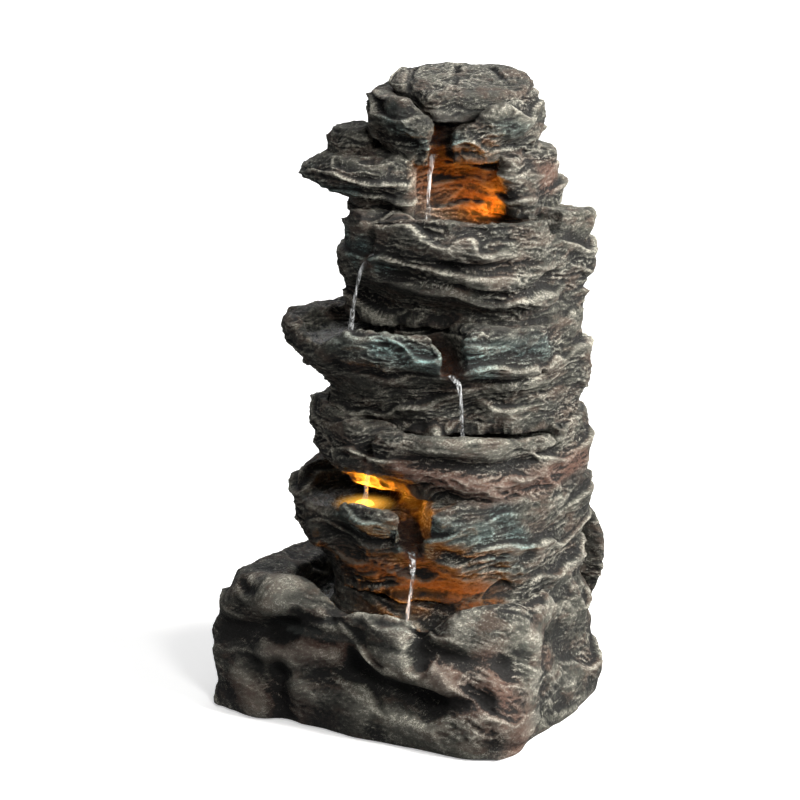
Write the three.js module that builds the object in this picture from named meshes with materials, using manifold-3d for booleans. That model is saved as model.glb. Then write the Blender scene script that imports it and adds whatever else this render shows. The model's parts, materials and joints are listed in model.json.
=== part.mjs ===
// A tabletop rock-cascade water fountain in cast resin, in millimetres, +Z up, front towards -Y.
// A pump in the base lifts water up a riser tube to the head stone, and it falls through four basins
// back to the base.
// The origin is on the table, under the middle of the fountain.
import * as THREE from "three";
import { mergeVertices } from "three/addons/utils/BufferGeometryUtils.js";
import Module from "manifold-3d";

const wasm = await Module();
wasm.setup();

// ---------------------------------------------------------------- driving dimensions
const FOOT_PROUD = 1.5; // rubber feet stand this far below the base casting
const BASE_TOP = 98;
const TIER_4_TOP = 172;
const TIER_3_TOP = 216;
const TIER_2_TOP = 292;
const TIER_1_TOP = 368;
const NECK_TOP = 404;
const HEAD_TOP = 447;
const CAP_TOP = 460;
const BASE_HALF_WIDTH = 118;
const BASE_HALF_DEPTH = 92;
const BASE_FLOOR = 10; // thickness of the reservoir's floor
const GLUE_LINE = 0.3; // between two castings
const GAP = 0.3; // between any other two pieces that meet
const SEGMENTS = 32; // round each casting
const BASIN_TURN = 28; // degrees: the basins' long axis runs from the left front to the right rear
const TOWER = new THREE.Vector2(38, 20); // centre of the stacked tiers
const HEAD = new THREE.Vector2(26, 16); // centre of the head stone
const DUCT = new THREE.Vector2(45, 38); // axis of the pump's outlet, the riser tube and the duct round it
const DUCT_RADIUS = 20;
const TUBE_RADIUS = 5.5;
const TUBE_BORE = 4;
const TUBE_TOP = 424;
const LED_RADIUS = 9;
const LED_HEIGHT = 8;
const LEAD_RADIUS = 1.3;
const LEAD_HOLE = 2.6;

// ---------------------------------------------------------------- materials
const material = (color, roughness, metalness = 0) =>
  new THREE.MeshStandardMaterial({ color, roughness, metalness });
const ROCK = material(0x4a4a44, 0.85);
const BLACK_PLASTIC = material(0x1c1d1f, 0.45);
const GREY_PLASTIC = material(0x55585c, 0.5);
const RUBBER = material(0x161616, 0.9);
const CLEAR_TUBE = material(0xbfc8c8, 0.25);
const LENS = material(0xffa030, 0.2);
const CERAMIC = material(0xe8e4da, 0.3);
const MAGNET = material(0x303236, 0.4, 0.6);
const FOAM = material(0x23262b, 1);
const CABLE = material(0x141414, 0.6);

// ---------------------------------------------------------------- solids and booleans
// A closed three.js geometry as a manifold-3d solid.
function solid(geometry) {
  const bare = geometry.clone();
  bare.deleteAttribute("normal");
  bare.deleteAttribute("uv");
  const merged = mergeVertices(bare, 1e-3);
  return new wasm.Manifold(
    new wasm.Mesh({
      numProp: 3,
      vertProperties: new Float32Array(merged.attributes.position.array),
      triVerts: new Uint32Array(merged.index.array),
    }),
  );
}

function geometryOf(body) {
  const { vertProperties, triVerts } = body.getMesh();
  const geometry = new THREE.BufferGeometry();
  geometry.setAttribute("position", new THREE.BufferAttribute(vertProperties, 3));
  geometry.setIndex(new THREE.BufferAttribute(triVerts, 1));
  geometry.computeVertexNormals();
  return geometry;
}

const cutAll = (body, cutters) => cutters.reduce((left, cutter) => left.subtract(cutter), body);
const joinAll = (bodies) => bodies.reduce((sum, body) => sum.add(body));

const fountain = new THREE.Group();

function addPiece(name, body, look) {
  const mesh = new THREE.Mesh(body.isBufferGeometry ? body : geometryOf(body), look);
  mesh.name = name;
  fountain.add(mesh);
  return mesh;
}

// ---------------------------------------------------------------- simple shapes, standing on z = 0
// A plan position given along the basins' long axis and across it, away from the front.
function basinPoint(along, across) {
  const turn = THREE.MathUtils.degToRad(BASIN_TURN);
  return new THREE.Vector2(along, across).rotateAround(new THREE.Vector2(), turn);
}

function disc(radius, height, sides = 24) {
  return new THREE.CylinderGeometry(radius, radius, height, sides)
    .rotateX(Math.PI / 2)
    .translate(0, 0, height / 2);
}

function block(width, depth, height) {
  return new THREE.BoxGeometry(width, depth, height).translate(0, 0, height / 2);
}

// A body of revolution about Z from [radius, z] pairs that start and end on the axis.
function turned(profile, sides = 24) {
  const points = profile.map(([radius, z]) => new THREE.Vector2(radius, z));
  return new THREE.LatheGeometry(points, sides).rotateX(Math.PI / 2);
}

function pipe(outer, inner, height, sides = 24) {
  return solid(disc(outer, height, sides)).subtract(
    solid(disc(inner, height + 2, sides).translate(0, 0, -1)),
  );
}

// A round section swept along a curve.
function sweptRound(path, radius, steps, sides) {
  const section = new THREE.Shape();
  for (let i = 0; i < sides; i++) {
    const angle = (i / sides) * 2 * Math.PI;
    section[i ? "lineTo" : "moveTo"](radius * Math.cos(angle), radius * Math.sin(angle));
  }
  section.closePath();
  return new THREE.ExtrudeGeometry(section, { steps, extrudePath: path, bevelEnabled: false });
}

// ---------------------------------------------------------------- rock castings
// The radius at an angle of an outline given as a function, or as radii every 30 degrees,
// counter-clockwise from +X, that a smooth closed curve joins.
function outlineRadius(radii, angle) {
  if (typeof radii === "function") return radii(angle);
  const count = radii.length;
  const at = (((angle / (2 * Math.PI)) % 1) + 1) % 1;
  const i = Math.floor(at * count);
  const t = at * count - i;
  const [a, b, c, d] = [-1, 0, 1, 2].map((k) => radii[(i + k + count) % count]);
  return b + 0.5 * t * (c - a + t * (2 * a - 5 * b + 4 * c - d + t * (3 * (b - c) + d - a)));
}

// A broad unevenness that every casting has, as a share of its radius.
function unevenness(angle, z) {
  return (
    0.016 * Math.sin(3 * angle + z / 13) +
    0.013 * Math.sin(5 * angle - z / 9 + 1.7) +
    0.01 * Math.sin(8 * angle + z / 5 + 0.6)
  );
}

// A lofted stone. Its plan outline goes from foot to rim as its profile, a list of [z, share], says;
// lift and sag raise its top and bottom edges, in millimetres every 30 degrees.
// grow and drop make the same stone a little larger, to cut its clearance out of a neighbour.
function rock(shape) {
  const { centre, foot, rim, profile, lift, sag } = shape;
  const { rough = 1, grow = 0, drop = 0, segments = SEGMENTS } = shape;
  const rings = profile.length - 1;
  const stone = new THREE.CylinderGeometry(1, 1, 1, segments, rings).rotateX(Math.PI / 2);
  const position = stone.attributes.position;
  for (let i = 0; i < position.count; i++) {
    const [x, y, z] = [position.getX(i), position.getY(i), position.getZ(i)];
    const level = Math.round((z + 0.5) * rings);
    const [height, share] = profile[level];
    const angle = Math.atan2(y, x);
    const edge = THREE.MathUtils.lerp(outlineRadius(foot, angle), outlineRadius(rim, angle), share);
    const onAxis = Math.hypot(x, y) < 0.5;
    const radius = onAxis ? 0 : edge * (1 + rough * unevenness(angle, height)) + grow;
    const tilt = level === rings ? lift : level === 0 ? sag : null;
    const raised = tilt && !onAxis ? outlineRadius(tilt, angle) : 0;
    position.setXYZ(
      i,
      centre.x + radius * Math.cos(angle),
      centre.y + radius * Math.sin(angle),
      height + raised - (level === 0 ? drop : 0),
    );
  }
  return solid(stone);
}

// The cutter for a basin: the lower half of an ellipsoid, with a straight collar above its edge.
function basin(along, across, halfLength, halfWidth, top, depth, turn = BASIN_TURN) {
  const bowl = [];
  for (let i = 0; i <= 6; i++) {
    const angle = (i / 6) * (Math.PI / 2);
    bowl.push([Math.sin(angle), -Math.cos(angle)]);
  }
  const at = basinPoint(along, across);
  return solid(
    turned([...bowl, [1, 1.6], [0, 1.6]], 22)
      .scale(halfLength, halfWidth, depth)
      .rotateZ(THREE.MathUtils.degToRad(turn))
      .translate(at.x, at.y, top),
  );
}

// The cutter for a water channel between two plan points: a sloping floor, and sides that open out
// up to a level top. Each pair is the value where the channel starts and the value at its lip.
function channel({ from, to, floor, width, top, topWidth }) {
  const run = to.clone().sub(from);
  const side = new THREE.Vector2(-run.y, run.x).normalize();
  const box = new THREE.BoxGeometry(1, 1, 1);
  const position = box.attributes.position;
  for (let i = 0; i < position.count; i++) {
    const [x, y, z] = [position.getX(i), position.getY(i), position.getZ(i)];
    const end = x < 0 ? 0 : 1;
    const at = side.clone().multiplyScalar(y * (z < 0 ? width : topWidth)[end]);
    at.add(end ? to : from);
    position.setXYZ(i, at.x, at.y, z < 0 ? floor[end] : top);
  }
  return solid(box);
}

const duct = (from, to, radius = DUCT_RADIUS) =>
  solid(disc(radius, to - from, 20).translate(DUCT.x, DUCT.y, from));

// ---------------------------------------------------------------- outlines of the castings
// Radii at 0, 30, ... 330 degrees from each stone's own centre.
const roundedRectangle = (angle) => {
  const [x, y] = [Math.cos(angle) / BASE_HALF_WIDTH, Math.sin(angle) / BASE_HALF_DEPTH];
  return (Math.abs(x) ** 9 + Math.abs(y) ** 9) ** (-1 / 9);
};

const BASE = {
  centre: new THREE.Vector2(0, 0),
  segments: 48, // with a point at each corner of the foot
  foot: roundedRectangle,
  rim: [110, 122, 98, 86, 98, 120, 112, 126, 99, 84, 97, 123],
  profile: [
    [FOOT_PROUD, -0.1], [9, 0.05], [22, -0.1], [36, 0.15], [50, 0.05],
    [64, 0.45], [78, 0.5], [90, 0.85], [BASE_TOP, 1.2],
  ],
  lift: [4, 4, 0, 0, 0, 2, 3, 8, -4, -14, -11, 5],
};

const TIER_4 = {
  centre: TOWER,
  foot: [70, 81, 71, 62, 70, 78, 92, 102, 84, 72, 74, 76],
  rim: [74, 86, 74, 63, 70, 92, 114, 126, 104, 90, 86, 82],
  profile: [
    [BASE_TOP + GLUE_LINE, 0], [108, 0.1], [118, 0.3], [130, 0.8],
    [142, 1.05], [153, 0.98], [163, 1.03], [TIER_4_TOP, 0.9],
  ],
  lift: [0, 0, 0, 0, 0, 6, 8, 0, -11, -9, 0, 0],
};

const TIER_3 = {
  centre: TOWER,
  foot: [72, 80, 71, 61, 61, 66, 72, 78, 66, 68, 79, 78],
  rim: [74, 85, 73, 62, 62, 80, 98, 111, 98, 85, 83, 81],
  profile: [
    [TIER_4_TOP + GLUE_LINE, 0], [178, 0.4], [185, 0.8], [193, 1.04],
    [200, 0.95], [208, 1.05], [TIER_3_TOP, 0.92],
  ],
  lift: [1, 2, 0, 0, 0, 0, 10, 10, 3, 0, 0, 0],
};

const TIER_2 = {
  centre: TOWER,
  foot: [68, 79, 70, 60, 60, 74, 88, 98, 74, 50, 42, 54],
  rim: [71, 82, 72, 62, 68, 90, 116, 131, 108, 90, 82, 79],
  profile: [
    [TIER_3_TOP + GLUE_LINE, 0], [227, 0.02], [238, 0.12], [248, 0.45],
    [258, 0.82], [269, 1.04], [280, 0.98], [TIER_2_TOP, 0.94],
  ],
  lift: [0, 0, 0, 0, -2, -6, -7, -5, -5, -4, 0, 0],
};

const TIER_1 = {
  centre: TOWER,
  foot: [70, 79, 71, 61, 60, 66, 78, 88, 62, 50, 54, 68],
  rim: [72, 84, 74, 62, 60, 66, 80, 91, 90, 80, 80, 79],
  profile: [
    [TIER_2_TOP + GLUE_LINE, 0], [303, 0.05], [312, 0.5], [321, 0.98],
    [332, 0.9], [344, 1.05], [356, 0.95], [TIER_1_TOP, 0.96],
  ],
  lift: [-1, -8, -12, -8, -4, 0, 0, 0, 0, 0, 0, 0],
};

const NECK = {
  centre: TOWER,
  foot: [56, 64, 60, 54, 54, 60, 74, 86, 66, 30, 24, 42],
  rim: [50, 57, 54, 52, 52, 66, 98, 122, 94, 42, 32, 46],
  profile: [
    [TIER_1_TOP + GLUE_LINE, 0], [374, 0.1], [380, 0.5], [387, 0.98],
    [395, 1.02], [400, 0.8], [NECK_TOP, 0.6],
  ],
};

const LEDGE = {
  centre: basinPoint(-36, 4),
  foot: [14, 12, 18, 25, 27, 28, 27, 25, 24, 24, 22, 17],
  rim: [12, 11, 14, 18, 22, 23, 22, 20, 19, 18, 17, 13],
  profile: [[NECK_TOP + GLUE_LINE, 0.1], [410, -0.1], [415, 0.5], [420, 1.3]],
};

const HEAD_STONE = {
  centre: HEAD,
  foot: [52, 57, 54, 50, 50, 52, 50, 49, 48, 47, 48, 50],
  rim: [58, 62, 58, 53, 54, 56, 58, 60, 62, 60, 58, 57],
  profile: [
    [NECK_TOP + GLUE_LINE, 0], [411, 0.35], [419, 0.85],
    [428, 1.05], [437, 0.98], [HEAD_TOP, 0.9],
  ],
  lift: [0, -2, -4, -4, -3, 0, 0, 0, 0, 0, 0, 0],
};

const CAP = {
  centre: basinPoint(36, -2),
  foot: [42, 42, 36, 32, 34, 42, 46, 44, 36, 34, 34, 38],
  rim: [48, 48, 38, 33, 36, 46, 52, 50, 40, 38, 40, 45],
  profile: [[HEAD_TOP + GLUE_LINE, 0], [449.5, 0.8], [454, 1.05], [457.5, 0.4], [CAP_TOP, -1.6]],
  sag: [0, 0, 0, 0, 0, 0, 0, -1, -5, -8, -7, -2],
};

// ---------------------------------------------------------------- lights and their leads
const CHAMBER_FLOOR = FOOT_PROUD + BASE_FLOOR;
const lights = {
  tier_1: { at: basinPoint(50, -40), floor: TIER_1_TOP - 25 },
  tier_4: { at: basinPoint(-33, -26), floor: TIER_4_TOP - 26 },
  base: { at: basinPoint(28, -84), floor: CHAMBER_FLOOR },
};
const JOINER = new THREE.Vector3(64, 38, 92); // the box where the leads meet: middle of its underside
const JOINER_HEIGHT = 22;
const GLAND = new THREE.Vector3(6, 84, 45); // the cord gland, at the seat of its flange
const PUMP = new THREE.Vector3(45, 38, 31); // on the impeller's axis, which lies along X, under the outlet

// A lead ends square to the joiner's top or underside, so its last stretch is straight.
const under = ({ at, floor }, below) => [at.x, at.y, floor - below];
const joinerTop = (x) => [8, 3, 0.6].map((z) => [JOINER.x + x, JOINER.y, JOINER.z + JOINER_HEIGHT + z]);
const joinerFoot = (x) => [8, 3, 0.6].map((z) => [JOINER.x + x, JOINER.y, JOINER.z - z]);
const leads = {
  tier_1: {
    steps: 22,
    points: [
      under(lights.tier_1, 0.4), under(lights.tier_1, 6), [56, 14, 326], [57, 34, 300],
      [57, 36, 220], [58, 37, 150], ...joinerTop(-5),
    ],
  },
  tier_4: {
    steps: 14,
    points: [
      under(lights.tier_4, 0.4), under(lights.tier_4, 6), [4, -14, 128], [34, 20, 127],
      [62, 32, 126], ...joinerTop(3),
    ],
  },
  base: {
    steps: 16,
    points: [
      [54, -59, 15.4], [34, -60, 14.6], [15, -50, 14.6], [12, -26, 16],
      [18, -6, 46], [40, 18, 72], ...joinerFoot(-6),
    ],
  },
  pump: {
    steps: 12,
    points: [[86, 38, 40], [89, 38, 43], [88, 38, 62], [70, 38, 76], ...joinerFoot(0)],
  },
  supply: {
    steps: 16,
    points: [
      [GLAND.x, 82, GLAND.z], [GLAND.x, 68, GLAND.z], [12, 60, 46], [34, 62, 50],
      [64, 58, 58], [72, 44, 72], ...joinerFoot(6),
    ],
  },
};
function sweptLead(name, radius, sides) {
  const { points, steps } = leads[name];
  const path = new THREE.CatmullRomCurve3(points.map(([x, y, z]) => new THREE.Vector3(x, y, z)));
  return solid(sweptRound(path, radius, steps, sides));
}
const leadHole = (name) => sweptLead(name, LEAD_HOLE, 8);

// ---------------------------------------------------------------- the rock castings
const coreColumn = rock({
  ...TIER_4,
  lift: null,
  profile: [[CHAMBER_FLOOR - 5, 0], [60, -0.05], [BASE_TOP + 30, 0]],
  segments: 24,
});
const pumpChamber = rock({
  centre: TOWER,
  foot: TIER_4.foot.map((radius) => radius - 13),
  rim: TIER_4.foot.map((radius) => radius - 13),
  profile: [[CHAMBER_FLOOR, 0], [BASE_TOP + 30, 0]],
  rough: 0,
  segments: 24,
});
const reservoir = rock({
  centre: BASE.centre,
  foot: [97, 109, 85, 73, 82, 92, 84, 90, 86, 73, 90, 111],
  rim: [97, 109, 85, 73, 80, 84, 76, 82, 86, 72, 88, 109],
  profile: [[CHAMBER_FLOOR, 0], [60, 0.3], [BASE_TOP + 30, 1]],
  segments: 28,
});

// A cutter with a section drawn in [along, z] and run straight between two distances across.
function notch(section, from, to) {
  const shape = new THREE.Shape(section.map(([along, z]) => new THREE.Vector2(along, z)));
  return solid(
    new THREE.ExtrudeGeometry(shape, { depth: to - from, bevelEnabled: false })
      .rotateX(Math.PI / 2)
      .translate(0, to, 0)
      .rotateZ(THREE.MathUtils.degToRad(BASIN_TURN)),
  );
}

const lightPocket = ({ at, floor }) =>
  solid(disc(LED_RADIUS + 0.8, 40, 20).translate(at.x, at.y, floor));

// The way in to the pump from the back, half in the base and half in tier 4.
const OPENING = { left: 16, right: 84, bottom: 60, top: 124 };
function openingBlock(inset, fromY, toY) {
  const width = OPENING.right - OPENING.left - 2 * inset;
  const height = OPENING.top - OPENING.bottom - 2 * inset;
  const middle = (OPENING.left + OPENING.right) / 2;
  return solid(
    block(width, toY - fromY, height).translate(middle, (fromY + toY) / 2, OPENING.bottom + inset),
  );
}

// The cover's plate, with its outline in X and Z bulging to the right, larger all round by about grow.
const COVER_SEAT = 84.4; // Y of the plate's inner face
const COVER_THICKNESS = 4;
const COVER_MIDDLE = new THREE.Vector2(56, 98);
const COVER_OUTLINE = [
  [2, 66], [0, 96], [4, 132], [30, 140], [66, 141], [98, 137],
  [110, 120], [114, 100], [110, 78], [98, 62], [60, 57], [22, 58],
];
function coverPlate(grow, thickness) {
  const larger = new THREE.Vector2(1 + grow / 50, 1 + grow / 42);
  const points = COVER_OUTLINE.map(([x, z]) =>
    new THREE.Vector2(x, z).sub(COVER_MIDDLE).multiply(larger).add(COVER_MIDDLE),
  );
  const outline = new THREE.Shape(new THREE.SplineCurve(points).getPoints(36).slice(0, -1));
  return solid(
    new THREE.ExtrudeGeometry(outline, { depth: thickness, bevelEnabled: false })
      .rotateX(Math.PI / 2)
      .translate(0, COVER_SEAT + thickness, 0),
  );
}

const FEET = [[-86, -60], [88, -60], [88, 60], [-86, 60]];
const glandBore = (radius, from, to, sides = 16) =>
  solid(
    disc(radius, to - from, sides).rotateX(-Math.PI / 2).translate(GLAND.x, from, GLAND.z),
  );

function baseCasting() {
  const waterPassages = [-20, 14].map((x) =>
    solid(block(18, 44, 20).translate(x, -46, CHAMBER_FLOOR)),
  );
  const footPockets = FEET.map(([x, y]) => solid(disc(8, 3, 12).translate(x, y, 0)));
  return cutAll(rock(BASE), [
    reservoir.subtract(coreColumn),
    pumpChamber,
    rock({ ...TIER_4, grow: 0.7, drop: 0.5 }),
    ...waterPassages,
    ...footPockets,
    glandBore(5.3, 50, 100),
    glandBore(9.5, GLAND.y - 1, 110),
    openingBlock(0, 50, 100),
    coverPlate(1.5, 20).translate(0, -0.4, 0),
  ]);
}

function tier4Casting() {
  const hollow = rock({
    centre: TOWER,
    foot: TIER_4.foot.map((radius) => radius - 13),
    rim: [44, 48, 44, 42, 40, 36, 34, 32, 30, 30, 32, 38],
    profile: [[BASE_TOP - 4, 0], [112, 0], [134, 0.9], [TIER_4_TOP - 14, 1]],
    rough: 0,
    segments: 24,
  });
  return cutAll(rock(TIER_4), [
    rock({ ...TIER_3, grow: 0.7, drop: 0.5 }),
    basin(-42, -16, 38, 38, TIER_4_TOP - 6, 20),
    basin(-14, -44, 24, 18, TIER_4_TOP - 6, 17),
    channel({
      from: basinPoint(-6, -42),
      to: basinPoint(4, -86),
      floor: [155, 120],
      width: [20, 6],
      top: TIER_4_TOP + 10,
      topWidth: [38, 30],
    }),
    hollow,
    duct(140, TIER_4_TOP + 2),
    openingBlock(0, 50, 100),
    coverPlate(1.5, 20).translate(0, -0.4, 0),
    lightPocket(lights.tier_4),
    leadHole("tier_4"),
  ]);
}

function tier3Casting() {
  return cutAll(rock(TIER_3), [
    rock({ ...TIER_2, grow: 0.7, drop: 0.5 }),
    basin(47, -44, 60, 26, TIER_3_TOP, 22),
    channel({
      from: basinPoint(2, -44),
      to: basinPoint(-40, -60),
      floor: [204, 191],
      width: [10, 6],
      top: TIER_3_TOP + 20,
      topWidth: [14, 11],
    }),
    duct(TIER_4_TOP - 2, TIER_3_TOP + 2),
  ]);
}

function tier2Casting() {
  return cutAll(rock(TIER_2), [
    rock({ ...TIER_1, grow: 0.7, drop: 0.5 }),
    basin(-44, -18, 37, 40, TIER_2_TOP - 4, 24),
    basin(-6, -46, 34, 20, TIER_2_TOP - 4, 20),
    channel({
      from: basinPoint(13, -44),
      to: basinPoint(32, -90),
      floor: [277, 253],
      width: [18, 6],
      top: TIER_2_TOP + 10,
      topWidth: [32, 27],
    }),
    duct(TIER_3_TOP - 2, TIER_2_TOP + 2),
  ]);
}

function tier1Casting() {
  return cutAll(rock(TIER_1), [
    rock({ ...NECK, grow: 0.7, drop: 0.5 }),
    basin(51, -43, 57, 27, TIER_1_TOP, 25),
    channel({
      from: basinPoint(2, -40),
      to: basinPoint(-44, -54),
      floor: [353, 327],
      width: [10, 5],
      top: TIER_1_TOP + 10,
      topWidth: [16, 12],
    }),
    duct(TIER_2_TOP - 2, TIER_1_TOP + 2),
    lightPocket(lights.tier_1),
    leadHole("tier_1"),
  ]);
}

function neckCasting() {
  return cutAll(rock(NECK), [
    basin(34, -44, 36, 30, TIER_1_TOP + 20, 60),
    duct(TIER_1_TOP - 2, NECK_TOP + 2, 16),
  ]);
}

function headCasting() {
  const gully = [
    [12, 400], [25.5, 400], [26.5, 424], [44, 434], [78, 443], [84, 470], [-6, 470], [0, 446], [12, 428],
  ];
  return cutAll(rock(HEAD_STONE), [
    rock({ ...CAP, grow: 0.7, drop: 0.5 }),
    basin(33, -4, 43, 37, HEAD_TOP - 6, 21),
    notch(gully, -90, -26),
    duct(NECK_TOP - 2, HEAD_TOP, TUBE_RADIUS + 0.8),
    duct(NECK_TOP - 2, NECK_TOP + 6, 9.3),
    duct(TUBE_TOP - 1, HEAD_TOP + 2, 9),
  ]);
}

addPiece("base_basin", baseCasting(), ROCK);
addPiece("tier_4_basin", tier4Casting(), ROCK);
addPiece("tier_3_basin", tier3Casting(), ROCK);
addPiece("tier_2_basin", tier2Casting(), ROCK);
addPiece("tier_1_basin", tier1Casting(), ROCK);
addPiece("neck_rock", neckCasting(), ROCK);
addPiece(
  "ledge_stone",
  rock({ ...LEDGE, segments: 20 }).subtract(rock({ ...HEAD_STONE, grow: 0.7, drop: 0.5 })),
  ROCK,
);
addPiece("head_stone", headCasting(), ROCK);
addPiece("cap_slab", rock({ ...CAP, segments: 28 }), ROCK);

// ---------------------------------------------------------------- rear cover
function rearCover() {
  const lip = openingBlock(0.5, 74, COVER_SEAT + 1).subtract(openingBlock(4, 70, COVER_SEAT));
  const finger = solid(disc(9, 20, 20).rotateX(Math.PI / 2).translate(50, 100, 143));
  return coverPlate(0, COVER_THICKNESS).add(lip).subtract(finger);
}
addPiece("rear_cover", rearCover(), ROCK);

// ---------------------------------------------------------------- rubber feet
FEET.forEach(([x, y], i) => {
  const foot = turned([[0, 0], [6.6, 0], [7.4, 0.9], [7.4, 2.7], [0, 2.7]], 12).translate(x, y, 0);
  addPiece(`rubber_foot_${i + 1}`, foot, RUBBER);
});

// ---------------------------------------------------------------- pump
// Everything that turns or lies on the impeller's axis is drawn upright and then laid along X.
const VOLUTE = { radius: 11, from: -6, to: 6 }; // X from the outlet's axis
const ROTOR_RADIUS = 6.6;
const SHAFT_RADIUS = 1.1;
const HOUSING_END = 40;
const CUPS = [[48, 25], [78, 25], [78, 51], [48, 51]]; // suction cups, in plan
const alongX = (geometry, x) => geometry.rotateY(Math.PI / 2).translate(PUMP.x + x, PUMP.y, PUMP.z);
const barrel = (radius, from, to, sides = 20) => solid(alongX(disc(radius, to - from, sides), from));

function pumpHousing() {
  const middle = PUMP.x + (HOUSING_END + VOLUTE.from) / 2;
  const body = solid(block(HOUSING_END - VOLUTE.from, 36, 33).translate(middle, PUMP.y, 15.4));
  const rib = solid(block(3, 38, 35).translate(PUMP.x + 30, PUMP.y, 14.4));
  const cupSockets = CUPS.map(([x, y]) => solid(disc(2.4, 4, 12).translate(x, y, 12.4)));
  return cutAll(body.add(rib), [
    barrel(VOLUTE.radius, VOLUTE.from - 1, VOLUTE.to),
    barrel(ROTOR_RADIUS + 0.9, VOLUTE.to - 1, 34, 16),
    solid(disc(3.2, 30, 14).translate(PUMP.x, PUMP.y, PUMP.z)),
    solid(disc(6.4, 10, 16).translate(PUMP.x, PUMP.y, 45.4)),
    ...cupSockets,
  ]);
}

function pumpCover() {
  const plate = solid(block(3, 32, 30).translate(PUMP.x - 7.8, PUMP.y, 16.4));
  const shoulder = barrel(VOLUTE.radius - 0.4, -6.6, -4.8);
  const inlet = barrel(5, -12, 0, 14);
  const spokes = solid(block(2, 11, 2.4).translate(PUMP.x - 8.2, PUMP.y, PUMP.z - 1.2));
  const hub = barrel(2.6, -9.2, -6.2, 12);
  const bushSeat = barrel(1.9, -8, -4, 12);
  return plate.add(shoulder).subtract(inlet).add(spokes).add(hub).subtract(bushSeat);
}

function intakeGrille() {
  const [near, far] = [-18, -9.7];
  const middle = PUMP.x + (near + far) / 2;
  const shell = solid(block(far - near, 36, 33).translate(middle, PUMP.y, 15.4));
  const inside = solid(block(far - near, 32.4, 29.4).translate(middle + 1.8, PUMP.y, 17.2));
  const slots = [-12, -6, 6, 12].map((y) =>
    solid(block(6, 2.6, 20).translate(PUMP.x + near, PUMP.y + y, PUMP.z - 9)),
  );
  return cutAll(shell, [inside, ...slots, barrel(1.4, near - 1, near + 4, 12)]);
}

// A round knob on the grille's face with a pointer, on a pin through it.
function flowLever() {
  const knob = barrel(6, -21, -18.3, 18);
  const pointer = solid(block(2.7, 3, 11).translate(PUMP.x - 19.65, PUMP.y, PUMP.z));
  const pin = barrel(1.1, -19, -15.8, 12);
  const keeper = barrel(2.6, -15.9, -15.0, 12);
  return joinAll([knob, pointer, pin, keeper]);
}

function impeller() {
  const hub = barrel(3, -3.6, 6.6, 14);
  const blades = [0, 1, 2, 3, 4, 5].map((i) =>
    solid(
      block(6.4, 1.2, 9)
        .translate(0, 0, 0.5)
        .rotateX((i * Math.PI) / 3)
        .translate(PUMP.x - 0.2, PUMP.y, PUMP.z),
    ),
  );
  return joinAll([hub, ...blades]).subtract(barrel(SHAFT_RADIUS + 0.3, -8, 10, 12));
}

addPiece("pump_housing", pumpHousing(), BLACK_PLASTIC);
addPiece("pump_cover", pumpCover(), BLACK_PLASTIC);
addPiece("intake_grille", intakeGrille(), BLACK_PLASTIC);
addPiece("filter_sponge", solid(block(3.4, 31, 28).translate(PUMP.x - 12.7, PUMP.y, 17.9)), FOAM);
addPiece("flow_lever", flowLever(), GREY_PLASTIC);
addPiece("impeller", impeller(), GREY_PLASTIC);
addPiece(
  "rotor_magnet",
  barrel(ROTOR_RADIUS, 7, 30, 18).subtract(barrel(SHAFT_RADIUS + 0.3, 0, 40, 12)),
  MAGNET,
);
addPiece("impeller_shaft", barrel(SHAFT_RADIUS, -7, 32.6, 12), CERAMIC);
addPiece("shaft_bush_front", barrel(1.7, -7.6, -4.6, 12).subtract(barrel(1.3, -7.3, 0, 12)), RUBBER);
addPiece("shaft_bush_rear", barrel(3, 30.5, 33.7, 12).subtract(barrel(1.3, 20, 33, 12)), RUBBER);
CUPS.forEach(([x, y], i) => {
  const cup = [[0, 0.3], [6.6, 0.3], [6.8, 0.8], [2.1, 2.4], [2.1, 4.5], [0, 4.5]];
  addPiece(`suction_cup_${i + 1}`, turned(cup, 12).translate(x, y, CHAMBER_FLOOR), RUBBER);
});

// ---------------------------------------------------------------- water line
const ADAPTER_FOOT = 45.8;
const adapter = joinAll([
  solid(disc(6.1, 4, 16).translate(PUMP.x, PUMP.y, ADAPTER_FOOT)),
  solid(disc(TUBE_BORE - 0.3, 16, 16).translate(PUMP.x, PUMP.y, ADAPTER_FOOT + 3)),
]).subtract(solid(disc(2.6, 30, 14).translate(PUMP.x, PUMP.y, ADAPTER_FOOT - 2)));
addPiece("outlet_adapter", adapter, GREY_PLASTIC);

const TUBE_FOOT = ADAPTER_FOOT + 4.3;
addPiece(
  "riser_tube",
  pipe(TUBE_RADIUS, TUBE_BORE, TUBE_TOP - TUBE_FOOT, 16).translate(DUCT.x, DUCT.y, TUBE_FOOT),
  CLEAR_TUBE,
);
addPiece("tube_grommet", pipe(9, 5.8, 5.2, 18).translate(DUCT.x, DUCT.y, NECK_TOP + 0.5), RUBBER);

// The nozzle plugs into the tube's top and spreads the water through holes round its dome.
const nozzle = turned(
  [[0, -8], [TUBE_BORE - 0.3, -8], [TUBE_BORE - 0.3, 0.3], [8, 0.3], [8, 2], [6.4, 6], [0, 8]],
  14,
);
const nozzleHoles = [0, 1, 2].map((i) => {
  const across = disc(1.3, 24, 6).translate(0, 0, -12).rotateX(Math.PI / 2);
  return solid(across.translate(0, 0, 3.4).rotateZ((i * Math.PI) / 3));
});
addPiece(
  "spring_nozzle",
  cutAll(solid(nozzle), [solid(disc(2.6, 13, 12).translate(0, 0, -9)), ...nozzleHoles]).translate(
    DUCT.x, DUCT.y, TUBE_TOP,
  ),
  GREY_PLASTIC,
);

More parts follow.
